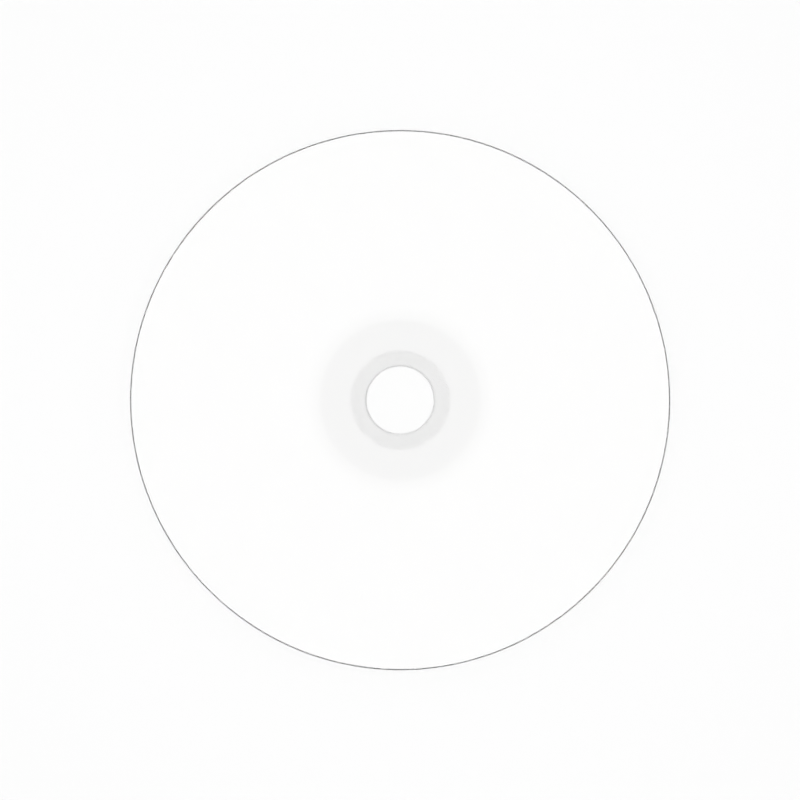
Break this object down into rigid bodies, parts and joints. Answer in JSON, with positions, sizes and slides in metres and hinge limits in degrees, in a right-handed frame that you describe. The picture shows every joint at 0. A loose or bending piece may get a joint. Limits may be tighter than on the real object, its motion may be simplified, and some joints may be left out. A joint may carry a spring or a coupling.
{
  "type": "compact disc",
  "caption": "Flat round optical disc with a centre hole, a clear moulded hub and rim, a mirrored recording side and a blank white printable face.",
  "frame": {"origin": "on the axis of the centre hole, at the plane the disc rests on, which touches the crest of the stacking ring", "axes": "+Z along the axis of the disc, out of the white printable face; the clear read side faces -Z; +X and +Y are any two radii, because the disc is round"},
  "size_m": [0.12, 0.12, 0.0014],
  "materials": {
    "polycarbonate": "clear moulded polycarbonate, polished on both faces, with a finely matt grey lead-in at the top of the hole and a faintly milky wall at the rim",
    "reflective_film": "silver mirror over a spiral groove, which splits light into colours when seen through the clear side",
    "base_coat": "white cured lacquer",
    "print_coat": "matt white ink-receiving coat, left blank"
  },
  "bodies": {
    "root": {"substrate": "polycarbonate", "reflective_film": "reflective_film", "base_coat": "base_coat", "print_coat": "print_coat"}
  },
  "joints": []
}
